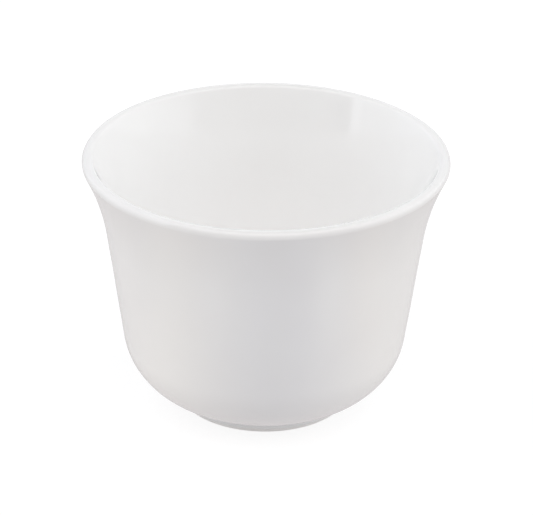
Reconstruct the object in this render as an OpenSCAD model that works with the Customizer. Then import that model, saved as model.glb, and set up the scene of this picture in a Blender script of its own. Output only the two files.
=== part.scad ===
// Porcelain tea cup without a handle: a flared bowl on a low foot ring, glazed white inside and out.
// Millimetres and degrees. The axis of the cup is Z, and its foot stands on z = 0.

/* [Cup] */
// Outside diameter of the rim
rim_d = 85; // [76:0.5:100]
// Height from the foot's seat to the crown of the lip
cup_h = 62.6; // [52:0.2:80]

/* [Lip and wall] */
// Thickness of the full round lip
lip_t = 2.7; // [2:0.1:4]
// Lean of the lip from the vertical
lip_lean = 25.8; // [14:0.2:36]
// Radius of the outward flare below the lip
flare_r = 58; // [36:1:76]
// Lean of the straight wall from the vertical
wall_lean = 7.8; // [4:0.2:12]
// Thickness of the wall where it meets the heel
heel_t = 3.2; // [2.4:0.1:4.6]

/* [Heel and floor] */
// Outside radius of the heel, as far as the base has room for it
heel_r = 17; // [8:0.5:18]
// Rise of the base from the foot out to the heel
base_rise = 18; // [8:1:26]
// Inside radius between the wall and the floor
well_r = 14.5; // [8:0.5:20]
// Radius of the shallow dish of the floor
dish_r = 140; // [60:5:240]
// Thickness of the floor at its centre
floor_t = 3.2; // [2.4:0.1:6]

/* [Foot ring] */
// Outside diameter of the foot ring at its seat
foot_d = 41.6; // [36:0.2:48]
// Height from the seat to the crease under the base
foot_h = 2.5; // [1.8:0.1:4]
// Width of the foot ring at its seat
foot_w = 3.8; // [2.8:0.1:6]
// Spread of the ring's outer wall towards the seat
foot_splay = 6; // [0:1:14]
// Slope of the ring's inner wall, which is wider at the seat
foot_draft = 10; // [0:1:20]
// Rounding of the ring's edges at the seat, as far as the bare band has room for it
foot_edge_r = 0.4; // [0.2:0.1:0.7]
// Rise of the underside from the ring to the centre
base_dome = 0.8; // [0.2:0.1:2]

/* [Glaze] */
// Thickness of the fired glaze
glaze_t = 0.25; // [0.15:0.05:0.4]
// Height of the bare band above the seat, where the glaze was wiped off
bare_h = 0.8; // [0.5:0.1:1.2]
// Radius of the glaze pooled in the crease above the foot, as far as the foot's wall has room for it
crease_r = 0.5; // [0.2:0.1:1]
// Radius of the glaze pooled round the edge of the underside, as far as the foot's wall has room for it
cove_r = 0.8; // [0.3:0.1:1.2]

/* [Hidden] */
$fn = 180;
// Widest gap between a round stretch of a profile and its chords
chord_gap = 0.005;
// Points of a profile closer than this are one point
same_point = 0.000001;
porcelain = "#f1eee8";
white_glaze = "#f7f7f5";

// A profile is a list of [radius, height] points. A surface has a lean: 0 faces straight out from the
// axis, 90 faces straight down, and 180 faces the axis. along() follows it, downwards where it faces out.
function facing(lean) = [cos(lean), -sin(lean)];
function along(lean) = [-sin(lean), -cos(lean)];
function lean_of(v) = atan2(-v[1], v[0]);

// Points on a circle, from one lean to another
function arc(centre, radius, from, to) =
    let (step = 2 * acos(1 - chord_gap / radius))
    let (count = max(2, ceil(abs(to - from) / step)))
    [for (i = [0:count]) centre + radius * facing((from * (count - i) + to * i) / count)];

// Where two straight surfaces meet, each given by a point on it and its lean
function meet(p, p_lean, q, q_lean) =
    let (n = facing(p_lean))
    let (m = facing(q_lean))
    let (turn = n[0] * m[1] - n[1] * m[0])
    [(n * p) * m[1] - (m * q) * n[1], (m * q) * n[0] - (n * p) * m[0]] / turn;

// The farther of the two points of a line that lie at a distance from a centre
function farther(start, direction, centre, distance) =
    let (middle = start + direction * ((centre - start) * direction))
    middle + direction * sqrt(distance * distance - pow(norm(middle - centre), 2));

function reversed(points) = [for (i = [len(points) - 1:-1:0]) points[i]];

function without_repeats(points) =
    let (count = len(points))
    [for (i = [0:count - 1]) if (norm(points[i] - points[(i + count - 1) % count]) > same_point) points[i]];

// The lip is a full round, and the flare below it turns about one centre outside the cup
lip_r = lip_t / 2;
lip_c = [rim_d / 2 - lip_r, cup_h - lip_r];
flare_c = lip_c + (lip_r + flare_r) * facing(lip_lean);
wall_top = flare_c - flare_r * facing(wall_lean);

// The foot's outer wall rises from the seat to the crease, and the base runs out from there to the heel.
// The glaze has a rounded hem at the wiped line, and the pooled glaze stays above it.
foot_lean = -foot_splay;
base_lean = 90 - base_rise;
seat_out = [foot_d / 2, 0];
crease = meet(seat_out, foot_lean, [0, foot_h], 90);
hem_z = bare_h + glaze_t;
crease_fit = min(crease_r, foot_h - hem_z);
crease_c = meet(seat_out + crease_fit * facing(foot_lean), foot_lean,
                crease + crease_fit * facing(base_lean), base_lean);

// The heel rounds the corner of wall and base, and stops short of the pooled glaze and of the flare
corner = meet(wall_top, wall_lean, crease, base_lean);
crease_reach = crease_fit / tan((180 - base_lean + foot_lean) / 2);
heel_room = min(norm(corner - crease) - crease_reach, norm(corner - wall_top));
heel_fit = min(heel_r, heel_room / tan((base_lean - wall_lean) / 2));
heel_c = meet(wall_top - heel_fit * facing(wall_lean), wall_lean,
              crease - heel_fit * facing(base_lean), base_lean);

// Foot and bowl are luted together on a flat land, which ends at the ring's two walls under the glaze
ring_lean = 180 - foot_draft;
seat_in = seat_out - [foot_w, 0];
body_out = seat_out - glaze_t * facing(foot_lean);
body_in = seat_in - glaze_t * facing(ring_lean);
land_out = meet(body_out, foot_lean, crease - glaze_t * facing(base_lean), base_lean);
land_in = meet(body_in, ring_lean, land_out, 90);

// The seat's edges are rounded below the line where the glaze ends
edge_fit = min(foot_edge_r, bare_h / (1 + sin(foot_splay)));
edge_out_c = meet(body_out - edge_fit * facing(foot_lean), foot_lean, [0, edge_fit], 90);
edge_in_c = meet(body_in - edge_fit * facing(ring_lean), ring_lean, [0, edge_fit], 90);
wiped_out = meet(body_out, foot_lean, [0, bare_h], 90);
wiped_in = meet(body_in, ring_lean, [0, bare_h], 90);

// The underside springs from the inner edge of the land, as a shallow dome with a cove round its edge
dome_r = (pow(land_in[0], 2) + pow(base_dome, 2)) / (2 * base_dome);
dome_c = [0, land_in[1] + base_dome - dome_r];
cove_fit = min(cove_r, land_in[1] - glaze_t - hem_z);
cove_c = farther(seat_in + cove_fit * facing(ring_lean), along(ring_lean),
                 dome_c, dome_r - glaze_t - cove_fit);
cove_lean = lean_of(cove_c - dome_c);

// The inside wall leans more than the outside, so that the wall grows thicker down to the heel. It runs
// into a round well, and the well into the dished floor.
wall_len = norm(heel_c + heel_fit * facing(wall_lean) - wall_top);
inner_lean = wall_lean + atan((heel_t - lip_t) / wall_len);
floor_z = land_in[1] + base_dome - glaze_t + floor_t;
dish_c = [0, floor_z + dish_r];
well_c = farther(flare_c - (flare_r + lip_t + well_r) * facing(inner_lean), along(inner_lean),
                 dish_c, dish_r - well_r);
well_lean = lean_of(well_c - dish_c);

// Both sides of the cup from the crown of the lip down. A depth of 0 is the glazed surface, and a depth
// of glaze_t the porcelain body under it.
function outside(depth) = concat(
    arc(lip_c, lip_r - depth, -90, lip_lean),
    arc(flare_c, flare_r + depth, 180 + lip_lean, 180 + wall_lean),
    arc(heel_c, heel_fit - depth, wall_lean, base_lean));

function inside(depth) = concat(
    arc(lip_c, lip_r - depth, -90, lip_lean - 180),
    arc(flare_c, flare_r + lip_t - depth, 180 + lip_lean, 180 + inner_lean),
    arc(well_c, well_r + depth, inner_lean, well_lean),
    arc(dish_c, dish_r + depth, well_lean, 90));

// The body's underside, from the inner edge of the land to the axis
function underside() = arc(dome_c, dome_r, lean_of(land_in - dome_c), -90);

module turned(profile) {
    rotate_extrude()
        polygon(without_repeats(profile));
}

// Porcelain body of the bowl: lip, wall, heel and floor
module bowl() {
    color(porcelain)
        turned(concat(outside(glaze_t), [land_out], underside(), reversed(inside(glaze_t))));
}

// Porcelain ring under the bowl, bare at its seat
module foot_ring() {
    color(porcelain)
        turned(concat(
            [land_out],
            arc(edge_out_c, edge_fit, foot_lean, 90),
            arc(edge_in_c, edge_fit, 90, ring_lean),
            [land_in]));
}

// Glaze from the crown of the lip down the outside, with a rounded hem at the wiped line of the foot
module outer_glaze() {
    color(white_glaze)
        turned(concat(
            outside(0),
            arc(crease_c, crease_fit, 180 + base_lean, 180 + foot_lean),
            arc(wiped_out - glaze_t * along(foot_lean), glaze_t, foot_lean, foot_lean + 90),
            [land_out],
            reversed(outside(glaze_t))));
}

// Glaze from the crown of the lip down the inside to the centre of the floor
module liner_glaze() {
    color(white_glaze)
        turned(concat(inside(0), reversed(inside(glaze_t))));
}

// Glaze in the hollow of the foot, with the same hem on the ring's inner wall
module base_glaze() {
    color(white_glaze)
        turned(concat(
            underside(),
            arc(dome_c, dome_r - glaze_t, -90, cove_lean),
            arc(cove_c, cove_fit, cove_lean, ring_lean - 180),
            arc(wiped_in + glaze_t * along(ring_lean), glaze_t, ring_lean, ring_lean - 90)));
}

bowl();
foot_ring();
outer_glaze();
liner_glaze();
base_glaze();
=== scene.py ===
import bmesh
import bpy
import numpy as np
from mathutils import Matrix, Vector


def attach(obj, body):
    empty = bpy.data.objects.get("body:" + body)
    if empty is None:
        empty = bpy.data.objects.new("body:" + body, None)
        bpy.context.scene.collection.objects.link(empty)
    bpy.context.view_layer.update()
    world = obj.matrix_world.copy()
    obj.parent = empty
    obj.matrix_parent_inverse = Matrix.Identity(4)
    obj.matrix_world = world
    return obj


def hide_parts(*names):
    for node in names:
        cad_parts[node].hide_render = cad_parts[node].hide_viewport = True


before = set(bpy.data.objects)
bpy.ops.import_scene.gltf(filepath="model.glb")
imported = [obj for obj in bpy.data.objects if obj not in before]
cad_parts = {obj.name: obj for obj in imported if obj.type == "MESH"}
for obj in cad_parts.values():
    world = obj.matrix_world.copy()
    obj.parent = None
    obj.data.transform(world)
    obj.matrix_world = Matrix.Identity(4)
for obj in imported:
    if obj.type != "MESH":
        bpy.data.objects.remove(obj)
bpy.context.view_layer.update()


# Bowl. The white porcelain body, thrown or pressed in one form: lip, wall, heel and floor. Glaze covers
# all of it, so its solid stays as it is and gets the bare fired clay.

def linear(colour):
    """Linear RGBA of an sRGB hex colour: the sRGB curve is undone in each channel."""
    srgb = np.array([int(colour[i:i + 2], 16) for i in (1, 3, 5)]) / 255
    return (*np.where(srgb <= 0.04045, srgb / 12.92, ((srgb + 0.055) / 1.055) ** 2.4), 1.0)


def add(tree, kind, inputs, **settings):
    """One shader node. Settings are its properties, and each input, by name or number, takes a value or
    another node's output."""
    node = tree.nodes.new("ShaderNode" + kind)
    for name, value in settings.items():
        setattr(node, name, value)
    for name, value in inputs.items():
        if isinstance(value, bpy.types.NodeSocket):
            tree.links.new(value, node.inputs[name])
        else:
            node.inputs[name].default_value = value
    return node


def biscuit_porcelain():
    """Fired clay without glaze: matte, faintly creamy, with a fine grit and lathe rings, and grey where the
    seat has rubbed on tables. The grit of 0.1 mm is drawn at 0.4 mm, and the rings at 0.7 mm, so that they
    show."""
    cloud_size, grit_size, ring_pitch, relief_depth = 0.006, 0.0004, 0.0007, 0.00002
    rubbed_height, most_rubbed = 0.0003, 0.3
    material = bpy.data.materials.new("biscuit porcelain")
    material.use_nodes = True
    tree = material.node_tree
    place = add(tree, "TexCoord", {}).outputs["Object"]
    cloud = add(tree, "TexNoise", {"Vector": place, "Scale": 1 / cloud_size, "Detail": 3.0}).outputs["Fac"]
    clay = add(tree, "Mix", {0: cloud, 6: linear("#efeeec"), 7: linear("#f6f5f3")},
               data_type="RGBA").outputs[2]
    grit = add(tree, "TexNoise", {"Vector": place, "Scale": 1 / grit_size, "Detail": 4.0}).outputs["Fac"]
    height = add(tree, "SeparateXYZ", {"Vector": place}).outputs["Z"]
    seat = add(tree, "MapRange",
               {"Value": height, 1: rubbed_height, 2: 0.0, 3: 0.0, 4: most_rubbed}).outputs[0]
    rubbed = add(tree, "Math", {0: seat, 1: grit}, operation="MULTIPLY").outputs[0]
    colour = add(tree, "Mix", {0: rubbed, 6: clay, 7: linear("#b5b1ab")}, data_type="RGBA").outputs[2]
    flat = add(tree, "VectorMath", {0: place, 1: (1, 1, 0)}, operation="MULTIPLY").outputs[0]
    radius = add(tree, "VectorMath", {0: flat}, operation="LENGTH").outputs["Value"]
    rings = add(tree, "TexNoise", {"W": radius, "Scale": 1 / ring_pitch, "Detail": 2.0},
                noise_dimensions="1D").outputs["Fac"]
    relief = add(tree, "Math", {0: grit, 1: rings}, operation="ADD").outputs[0]
    bump = add(tree, "Bump", {"Height": relief, "Strength": 0.6, "Distance": relief_depth}).outputs[0]
    shader = tree.nodes["Principled BSDF"]
    shader.inputs["Roughness"].default_value = 0.62
    shader.inputs["IOR"].default_value = 1.5
    tree.links.new(colour, shader.inputs["Base Color"])
    tree.links.new(bump, shader.inputs["Normal"])
    return material


biscuit = biscuit_porcelain()
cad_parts["bowl"].data.materials.clear()
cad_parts["bowl"].data.materials.append(biscuit)


# Foot ring. A low ring of the same clay, luted under the bowl. Glaze covers its walls down to a wiped
# line, and its seat is bare, ground flat, with slightly rounded edges. Sizes are in mm and degrees.

foot_d = 41.6
foot_h = 2.5
foot_w = 3.8
foot_lean = -6.0
ring_lean = 170.0
foot_edge_r = 0.4
glaze_t = 0.25
base_lean = 72.0
segments = 320
azimuth = np.linspace(0, 2 * np.pi, segments, endpoint=False)


def facing(lean):
    """The way a surface faces in a profile of (radius, height), by its lean: 0 is straight out, 90 is down."""
    return np.stack([np.cos(np.radians(lean)), -np.sin(np.radians(lean))], axis=-1)


def arc(centre, radius, start, end, count):
    """Points on a circle in the profile, evenly from one lean to another."""
    return centre + radius * facing(np.linspace(start, end, count))


def meet(p, p_lean, q, q_lean):
    """Where two straight surfaces meet: along each one's facing it is as far out as that one's own point."""
    sides = np.stack([facing(p_lean), facing(q_lean)])
    return np.linalg.solve(sides, [sides[0] @ p, sides[1] @ q])


def straight(start, end, count):
    """Points inside a straight stretch of a profile, without its two ends."""
    return start + (end - start) * np.linspace(0, 1, count + 2)[1:-1, None]


def turned(name, profile, shift, material):
    """A closed profile in mm carried round the axis. Each point is first moved in its own radial plane by
    shift, an array of (radius, height) for every row and segment; rows on the axis are merged to a pole."""
    same_point, crisp_edge = 1e-7, np.radians(40)
    flat = (profile[:, None, :] + shift) / 1000
    flat = np.broadcast_to(flat, (len(profile), segments, 2))
    radius, height = flat[..., 0], flat[..., 1]
    points = np.stack([radius * np.cos(azimuth), radius * np.sin(azimuth), height], axis=-1)
    at = np.arange(radius.size).reshape(radius.shape)
    below, beside = np.roll(at, -1, axis=0), np.roll(at, -1, axis=1)
    quads = np.stack([at, below, np.roll(below, -1, axis=1), beside], axis=-1).reshape(-1, 4)
    mesh = bpy.data.meshes.new(name)
    mesh.from_pydata(points.reshape(-1, 3), [], quads)
    form = bmesh.new()
    form.from_mesh(mesh)
    bmesh.ops.remove_doubles(form, verts=form.verts, dist=same_point)
    form.to_mesh(mesh)
    form.free()
    mesh.shade_smooth()
    mesh.set_sharp_from_angle(angle=crisp_edge)
    mesh.materials.append(material)
    piece = bpy.data.objects.new(name, mesh)
    bpy.context.scene.collection.objects.link(piece)
    return piece


seat_out = np.array([foot_d / 2, 0.0])
seat_in = seat_out - [foot_w, 0]
body_out = seat_out - glaze_t * facing(foot_lean)
body_in = seat_in - glaze_t * facing(ring_lean)
crease = meet(seat_out, foot_lean, [0, foot_h], 90)
land_out = meet(body_out, foot_lean, crease - glaze_t * facing(base_lean), base_lean)
land_in = meet(body_in, ring_lean, land_out, 90)
edge_out = meet(body_out - foot_edge_r * facing(foot_lean), foot_lean, [0, foot_edge_r], 90)
edge_in = meet(body_in - foot_edge_r * facing(ring_lean), ring_lean, [0, foot_edge_r], 90)
ring_profile = np.vstack([
    straight(land_in, land_out, 4),
    land_out,
    straight(land_out, edge_out + foot_edge_r * facing(foot_lean), 12),
    arc(edge_out, foot_edge_r, foot_lean, 90, 12),
    straight(edge_out + [0, -foot_edge_r], edge_in + [0, -foot_edge_r], 8),
    arc(edge_in, foot_edge_r, 90, ring_lean, 12),
    straight(edge_in + foot_edge_r * facing(ring_lean), land_in, 12),
    land_in])
foot_ring = turned("foot_ring_biscuit", ring_profile, 0, biscuit)
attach(foot_ring, "root")
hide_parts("foot_ring")


# Outer glaze. A clear glass coat a quarter of a millimetre thick over the white clay, from the crown of
# the lip down the flare, the straight wall and the heel into the crease, and down the foot to a wiped hem.

rim_d = 85.0
cup_h = 62.6
lip_t = 2.7
lip_lean = 25.8
flare_r = 58.0
wall_lean = 7.8
heel_r = 17.0
crease_r = 0.5
bare_h = 0.8


def glazed_porcelain(name, pool_top, pool_bottom):
    """Clear glaze over white porcelain: a smooth glassy coat with a faint orange peel, slightly uneven in
    gloss and in whiteness, cool where it pools deep between the two heights, and warmer and a little
    darker on the crown, partly where it runs thin and partly as painted shade that dims the lit crown."""
    cloud_size, haze_size, peel_size, peel_depth = 0.018, 0.009, 0.0016, 0.000006
    crown_tint_and_shade_band = 0.5
    material = bpy.data.materials.new("glazed porcelain " + name)
    material.use_nodes = True
    tree = material.node_tree
    place = add(tree, "TexCoord", {}).outputs["Object"]
    cloud = add(tree, "TexNoise", {"Vector": place, "Scale": 1 / cloud_size, "Detail": 2.0}).outputs["Fac"]
    white = add(tree, "Mix", {0: cloud, 6: linear("#f8f7f6"), 7: linear("#fbfbfa")},
                data_type="RGBA").outputs[2]
    height = add(tree, "SeparateXYZ", {"Vector": place}).outputs["Z"]
    pool = add(tree, "MapRange",
               {"Value": height, 1: pool_top / 1000, 2: pool_bottom / 1000, 3: 0.0, 4: 1.0},
               interpolation_type="SMOOTHSTEP").outputs[0]
    deep = add(tree, "Mix", {0: pool, 6: white, 7: linear("#f3f4f4")}, data_type="RGBA").outputs[2]
    # painted shade on the crown: darker as well as warmer towards the top of the lip, partly for the thin
    # glaze and partly to dim the light that falls on it
    crown_tint_and_shade = add(tree, "MapRange",
                {"Value": height, 1: (cup_h - crown_tint_and_shade_band) / 1000, 2: cup_h / 1000, 3: 0.0, 4: 0.6},
                interpolation_type="SMOOTHSTEP").outputs[0]
    colour = add(tree, "Mix", {0: crown_tint_and_shade, 6: deep, 7: linear("#f1f0ee")}, data_type="RGBA").outputs[2]
    haze = add(tree, "TexNoise", {"Vector": place, "Scale": 1 / haze_size, "Detail": 3.0}).outputs["Fac"]
    gloss = add(tree, "MapRange", {"Value": haze, 1: 0.3, 2: 0.7, 3: 0.05, 4: 0.1}).outputs[0]
    peel = add(tree, "TexNoise", {"Vector": place, "Scale": 1 / peel_size, "Detail": 1.0}).outputs["Fac"]
    bump = add(tree, "Bump", {"Height": peel, "Strength": 0.15, "Distance": peel_depth}).outputs[0]
    shader = tree.nodes["Principled BSDF"]
    shader.inputs["IOR"].default_value = 1.5
    tree.links.new(colour, shader.inputs["Base Color"])
    tree.links.new(gloss, shader.inputs["Roughness"])
    tree.links.new(bump, shader.inputs["Normal"])
    return material


def path_length(profile):
    """Length along a profile from its first point to each of its points."""
    return np.r_[0, np.cumsum(np.linalg.norm(np.diff(profile, axis=0), axis=1))]


def outward(profile):
    """The way each point of an open profile faces: its tangent turned by a quarter."""
    tangent = np.gradient(profile, axis=0)
    normal = np.stack([-tangent[:, 1], tangent[:, 0]], axis=-1)
    return normal / np.linalg.norm(normal, axis=1, keepdims=True)


def ripple(profile, waves):
    """Unevenness of a dipped coat: a sum of sine waves round and along the profile, along its facing, that
    fades out towards both ends. A wave is (height in mm, waves round, mm per wave along, phase)."""
    calm_end = 4.0
    length = path_length(profile)[:, None]
    height, around, pitch, phase = np.array(waves).T[:, :, None, None]
    swell = (height * np.sin(around * azimuth + 2 * np.pi * length / pitch + phase)).sum(axis=0)
    fade = np.clip(np.minimum(length, length[-1] - length) / calm_end, 0, 1)
    swell = swell * (fade * fade * (3 - 2 * fade))
    return swell[..., None] * outward(profile)[:, None, :]


def rim_warp(profile):
    """The rim dries slightly oval: two slow waves round, in radius and in height, that fade with the square
    of the height above the heel."""
    heel_top = 20.0
    oval, three_sided, saddle, wobble = 0.07, 0.03, 0.06, 0.02
    fade = np.clip((profile[:, 1] - heel_top) / (cup_h - heel_top), 0, 1)[:, None] ** 2
    radius = oval * np.cos(2 * azimuth - 0.6) + three_sided * np.cos(3 * azimuth + 1.1)
    height = saddle * np.cos(2 * azimuth + 1.9) + wobble * np.cos(5 * azimuth)
    return fade[..., None] * np.stack([radius, height], axis=-1)


lip_r = lip_t / 2
lip_c = np.array([rim_d / 2 - lip_r, cup_h - lip_r])
flare_c = lip_c + (lip_r + flare_r) * facing(lip_lean)
wall_top = flare_c - flare_r * facing(wall_lean)
heel_c = meet(wall_top - heel_r * facing(wall_lean), wall_lean,
              crease - heel_r * facing(base_lean), base_lean)
crease_c = meet(seat_out + crease_r * facing(foot_lean), foot_lean,
                crease + crease_r * facing(base_lean), base_lean)
wiped_out = meet(body_out, foot_lean, [0, bare_h], 90)
hem_out = wiped_out + glaze_t * facing(foot_lean - 90)
crown_lean = -90.0
crown_row = 0.3  # a narrow row beside the crown, where the two coats meet

outer_face = np.vstack([
    lip_c + lip_r * facing(crown_lean),
    arc(lip_c, lip_r, crown_lean + crown_row, lip_lean, 40),
    arc(flare_c, flare_r, 180 + lip_lean, 180 + wall_lean, 28)[1:],
    straight(wall_top, heel_c + heel_r * facing(wall_lean), 30),
    arc(heel_c, heel_r, wall_lean, base_lean, 40),
    straight(heel_c + heel_r * facing(base_lean), crease_c - crease_r * facing(base_lean), 10),
    arc(crease_c, crease_r, 180 + base_lean, 180 + foot_lean, 14),
    straight(crease_c - crease_r * facing(foot_lean), hem_out + glaze_t * facing(foot_lean), 6),
    arc(hem_out, glaze_t, foot_lean, foot_lean + 90, 10)])
outer_back = np.vstack([
    land_out,
    arc(heel_c, heel_r - glaze_t, base_lean, wall_lean, 20),
    arc(flare_c, flare_r + glaze_t, 180 + wall_lean, 180 + lip_lean, 12),
    arc(lip_c, lip_r - glaze_t, lip_lean, crown_lean, 12)])
wander_top, wander_fade = 1.7, 0.6
hem_wander = (0.07 * np.sin(3 * azimuth + 0.4) + 0.04 * np.sin(8 * azimuth + 2.0)
              + 0.02 * np.sin(21 * azimuth))
near_hem = np.clip((wander_top - outer_face[:, 1]) / wander_fade, 0, 1)
outer_shift = (ripple(outer_face, [(0.010, 5, 31, 0.3), (0.006, 11, 17, 1.7), (0.004, 17, 13, 4.0)])
               + rim_warp(outer_face)
               + (near_hem[:, None] * hem_wander)[..., None] * facing(foot_lean - 90))
outer_glaze = turned("outer_glaze_coat", np.vstack([outer_face, outer_back]),
                     np.vstack([outer_shift, np.zeros((len(outer_back), segments, 2))]),
                     glazed_porcelain("outside", 4.5, 1.5))
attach(outer_glaze, "root")
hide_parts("outer_glaze")


# Liner glaze. The same coat poured inside, from the crown of the lip down the wall and through the round
# well to the middle of the dished floor, where it pools a little.

well_r = 14.5
dish_r = 140.0
floor_t = 3.2
heel_t = 3.2
base_dome = 0.8


def farther(start, lean, centre, distance):
    """The lower of the two points of a straight surface that lie at a distance from a centre."""
    way = facing(lean + 90)
    middle = start + way * ((centre - start) @ way)
    return middle + way * np.sqrt(distance ** 2 - np.sum((middle - centre) ** 2))


def lean_of(way):
    """The lean of a surface that faces a given way."""
    return np.degrees(np.arctan2(-way[1], way[0]))


wall_length = np.linalg.norm(heel_c + heel_r * facing(wall_lean) - wall_top)
inner_lean = wall_lean + np.degrees(np.arctan((heel_t - lip_t) / wall_length))
dish_c = np.array([0, land_in[1] + base_dome - glaze_t + floor_t + dish_r])
well_c = farther(flare_c - (flare_r + lip_t + well_r) * facing(inner_lean), inner_lean,
                 dish_c, dish_r - well_r)
well_lean = lean_of(well_c - dish_c)
inner_top = flare_c - (flare_r + lip_t) * facing(inner_lean)

liner_face = np.vstack([
    lip_c + lip_r * facing(crown_lean),
    arc(lip_c, lip_r, crown_lean - crown_row, lip_lean - 180, 40),
    arc(flare_c, flare_r + lip_t, 180 + lip_lean, 180 + inner_lean, 28)[1:],
    straight(inner_top, well_c + well_r * facing(inner_lean), 30),
    arc(well_c, well_r, inner_lean, well_lean, 40),
    arc(dish_c, dish_r, well_lean, 90, 30)[1:]])
liner_back = np.vstack([
    arc(dish_c, dish_r + glaze_t, 90, well_lean, 6),
    arc(well_c, well_r + glaze_t, well_lean, inner_lean, 20),
    arc(flare_c, flare_r + lip_t - glaze_t, 180 + inner_lean, 180 + lip_lean, 12),
    arc(lip_c, lip_r - glaze_t, lip_lean - 180, crown_lean, 12)])
calm_floor_r = 15.0
off_floor = (liner_face[:, 0] > calm_floor_r)[:, None, None]
liner_shift = (ripple(liner_face, [(0.012, 4, 37, 2.2), (0.006, 9, 19, 0.9), (0.004, 15, 14, 5.1)])
               * off_floor
               + rim_warp(liner_face))
liner_glaze = turned("liner_glaze_coat", np.vstack([liner_face, liner_back])[::-1],
                     np.vstack([liner_shift, np.zeros((len(liner_back), segments, 2))])[::-1],
                     glazed_porcelain("inside", 12, 6))
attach(liner_glaze, "root")
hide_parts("liner_glaze")


# Base glaze. The coat in the hollow of the foot: a shallow dome that still shows the spiral of the turning
# tool and the nub it leaves in the middle, a pooled cove round its edge, and the wiped hem on the ring's
# inner wall.

cove_r = 0.8
spiral_depth = 0.018
spiral_pitch = 1.5
spiral_start, spiral_rise = 1.5, 2.0
spiral_end, spiral_fall = 14.5, 3.0
nub_h = 0.08
nub_r = 1.1

dome_r = (land_in[0] ** 2 + base_dome ** 2) / (2 * base_dome)
dome_c = np.array([0, land_in[1] + base_dome - dome_r])
cove_c = farther(seat_in + cove_r * facing(ring_lean), ring_lean, dome_c, dome_r - glaze_t - cove_r)
cove_lean = lean_of(cove_c - dome_c)
wiped_in = meet(body_in, ring_lean, [0, bare_h], 90)
hem_in = wiped_in + glaze_t * facing(ring_lean + 90)

base_face = np.vstack([
    arc(dome_c, dome_r - glaze_t, -90, cove_lean, 150),
    arc(cove_c, cove_r, cove_lean, ring_lean - 180, 16)[1:],
    straight(cove_c - cove_r * facing(ring_lean), hem_in + glaze_t * facing(ring_lean), 5),
    arc(hem_in, glaze_t, ring_lean, ring_lean - 90, 10)])
base_back = np.vstack([
    land_in,
    arc(dome_c, dome_r, lean_of(land_in - dome_c), -90, 12)])
base_radius = base_face[:, :1]
on_dome = (np.clip((base_radius - spiral_start) / spiral_rise, 0, 1)
           * np.clip((spiral_end - base_radius) / spiral_fall, 0, 1))
tool_spiral = spiral_depth * on_dome * np.sin(2 * np.pi * base_radius / spiral_pitch - azimuth)
nub = nub_h * np.exp(-(base_radius / nub_r) ** 2) * np.ones_like(azimuth)
base_shift = np.stack([np.zeros_like(tool_spiral), -tool_spiral - nub], axis=-1)
base_glaze = turned("base_glaze_coat", np.vstack([base_face, base_back])[::-1],
                    np.vstack([base_shift, np.zeros((len(base_back), segments, 2))])[::-1],
                    glazed_porcelain("base", 2.6, 1.2))
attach(base_glaze, "root")
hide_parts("base_glaze")


# Floor. A wide sheet of pale acrylic, lit from below as on a product table, so that it shows white. Less
# of its glow reaches the cup, least in front, where a bluish shade lies on it. Seen from below it lets the
# cup show.

half_side = 4.0
patches = [
    # middle of the patch and how far it reaches, in metres, and the glow that reaches the cup
    (0, 0, 0.042, "#c6c2c5"),
    (0.075, -0.038, 0.045, "#e0d0ba"),
    (-0.06, -0.045, 0.046, "#eee3d4"),
    (0, -0.15, 0.05, "#ffffff"),
    (-0.042, -0.073, 0.029, "#ffffff"),
    (0.05, -0.064, 0.028, "#ffffff"),
    (0.01, -0.084, 0.05, "#a3b4cf"),
    (0.02, -0.081, 0.036, "#04146c"),
    (0.005, -0.061, 0.026, "#50475c"),
]

corners = half_side * np.array([(-1, -1, 0), (1, -1, 0), (1, 1, 0), (-1, 1, 0)])
floor_mesh = bpy.data.meshes.new("floor")
floor_mesh.from_pydata(corners, [], [(0, 1, 2, 3)])
floor = bpy.data.objects.new("floor", floor_mesh)
bpy.context.scene.collection.objects.link(floor)
acrylic = bpy.data.materials.new("pale acrylic")
acrylic.use_nodes = True
sheet = acrylic.node_tree
on_sheet = add(sheet, "TexCoord", {}).outputs["Object"]
to_cup = linear("#b4b0b0")
for across, along, reach, colour in patches:
    away = add(sheet, "VectorMath", {0: on_sheet, 1: (across, along, 0)},
               operation="DISTANCE").outputs["Value"]
    patch = add(sheet, "MapRange", {"Value": away, 1: reach, 2: 0.0, 3: 0.0, 4: 1.0},
                interpolation_type="SMOOTHSTEP").outputs[0]
    to_cup = add(sheet, "Mix", {0: patch, 6: to_cup, 7: linear(colour)}, data_type="RGBA").outputs[2]
seen = add(sheet, "LightPath", {}).outputs["Is Camera Ray"]
shine = add(sheet, "Mix", {0: seen, 6: to_cup, 7: linear("#e7e7e7")}, data_type="RGBA").outputs[2]
acrylic_shader = sheet.nodes["Principled BSDF"]
acrylic_shader.inputs["Base Color"].default_value = linear("#898989")
acrylic_shader.inputs["Roughness"].default_value = 0.9
acrylic_shader.inputs["Specular IOR Level"].default_value = 0.0
acrylic_shader.inputs["Emission Strength"].default_value = 1.0
sheet.links.new(shine, acrylic_shader.inputs["Emission Color"])
below = add(sheet, "NewGeometry", {}).outputs["Backfacing"]
clear = add(sheet, "BsdfTransparent", {}).outputs[0]
sides = add(sheet, "MixShader", {0: below, 1: acrylic_shader.outputs[0], 2: clear}).outputs[0]
sheet.links.new(sides, sheet.nodes["Material Output"].inputs["Surface"])
floor_mesh.materials.append(acrylic)


# Light. A light tent: cloth panels at the left and right, two in front, of which the brighter one is above
# the camera, and one behind. The left cloth has a sharp edge with a brighter seam, which the glaze mirrors
# inside the cup.

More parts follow.
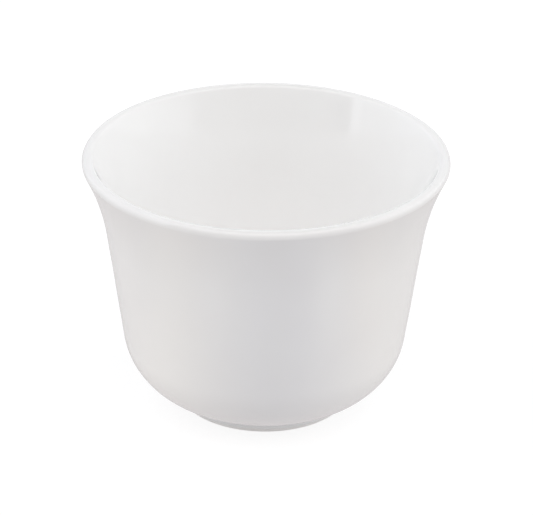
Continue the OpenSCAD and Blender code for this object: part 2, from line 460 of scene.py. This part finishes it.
panels = [
    # name; middle, to the right of the camera's side, half width, lowest, highest and soft edge, all in
    # degrees; colour; strength
    ("left", -101, 40, 0, 72, 3, "#f8fbff", 1.28),
    ("left seam", -64.5, 3.0, 4, 40, 3, "#ffffff", 0.9),
    ("right", 96, 44, 0, 72, 14, "#fbfdff", 1.29),
    ("front low", 0, 46, 3, 42, 14, "#fbfffb", 0.42),
    ("front top", 0, 60, 40, 88, 20, "#fffafa", 1.66),
    ("back", 180, 38, 0, 50, 12, "#f7faff", 0.84),
]

room = bpy.data.worlds.new("light tent")
room.use_nodes = True
sky = room.node_tree
way = add(sky, "TexCoord", {}).outputs["Generated"]
rise = add(sky, "Math", {0: add(sky, "SeparateXYZ", {0: way}).outputs["Z"]}, operation="ARCSINE").outputs[0]
glow = (0, 0, 0)
for name, middle, half_width, lowest, highest, soft, colour, strength in panels:
    side = np.radians(middle)
    ahead = add(sky, "VectorMath", {0: way, 1: (np.sin(side), -np.cos(side), 0)},
                operation="DOT_PRODUCT").outputs["Value"]
    aside = add(sky, "VectorMath", {0: way, 1: (np.cos(side), np.sin(side), 0)},
                operation="DOT_PRODUCT").outputs["Value"]
    turn = add(sky, "Math", {0: aside, 1: ahead}, operation="ARCTAN2").outputs[0]
    off = add(sky, "Math", {0: turn}, operation="ABSOLUTE").outputs[0]
    edge = np.radians([half_width + soft / 2, half_width - soft / 2])
    width = add(sky, "MapRange", {0: off, 1: edge[0], 2: edge[1], 3: 0.0, 4: 1.0},
                interpolation_type="SMOOTHSTEP").outputs[0]
    height = add(sky, "Math", {0: rise, 1: np.radians((lowest + highest) / 2)},
                 operation="SUBTRACT").outputs[0]
    over = add(sky, "Math", {0: height}, operation="ABSOLUTE").outputs[0]
    edge = np.radians([(highest - lowest + soft) / 2, (highest - lowest - soft) / 2])
    cloth = add(sky, "MapRange", {0: over, 1: edge[0], 2: edge[1], 3: 0.0, 4: strength},
                interpolation_type="SMOOTHSTEP", name=name).outputs[0]
    part = add(sky, "Math", {0: width, 1: cloth}, operation="MULTIPLY").outputs[0]
    tint = add(sky, "VectorMath", {0: linear(colour)[:3], "Scale": part}, operation="SCALE").outputs[0]
    glow = add(sky, "VectorMath", {0: tint, 1: glow}, operation="ADD").outputs[0]
looking = add(sky, "LightPath", {}).outputs["Is Camera Ray"]
backdrop = add(sky, "Mix", {0: looking, 6: glow, 7: linear("#ffffff")}, data_type="RGBA").outputs[2]
sky.links.new(backdrop, sky.nodes["Background"].inputs["Color"])
bpy.context.scene.world = room
bpy.context.scene.view_settings.view_transform = "Standard"
bpy.context.scene.cycles.diffuse_bounces = 12  # light bounces many times inside a white cup


# Camera. A long lens a little above the rim, tilted half a degree, as the cup was photographed.

target = Vector((0.00033, 0, 0.03558))
distance = 0.6375
elevation = np.radians(26.65)
roll = np.radians(0.58)
back = Vector((0, -np.cos(elevation), np.sin(elevation)))
up = Vector((0, np.sin(elevation), np.cos(elevation)))
right = Vector((1, 0, 0))
camera_data = bpy.data.cameras.new("camera")
camera_data.lens = 182.84
camera_data.sensor_width = 36
camera_data.clip_start = 0.05
camera = bpy.data.objects.new("camera", camera_data)
axes = Matrix([right * np.cos(roll) + up * np.sin(roll),
               up * np.cos(roll) - right * np.sin(roll),
               back]).transposed()
camera.matrix_world = Matrix.Translation(target + back * distance) @ axes.to_4x4()
bpy.context.scene.collection.objects.link(camera)
bpy.context.scene.camera = camera
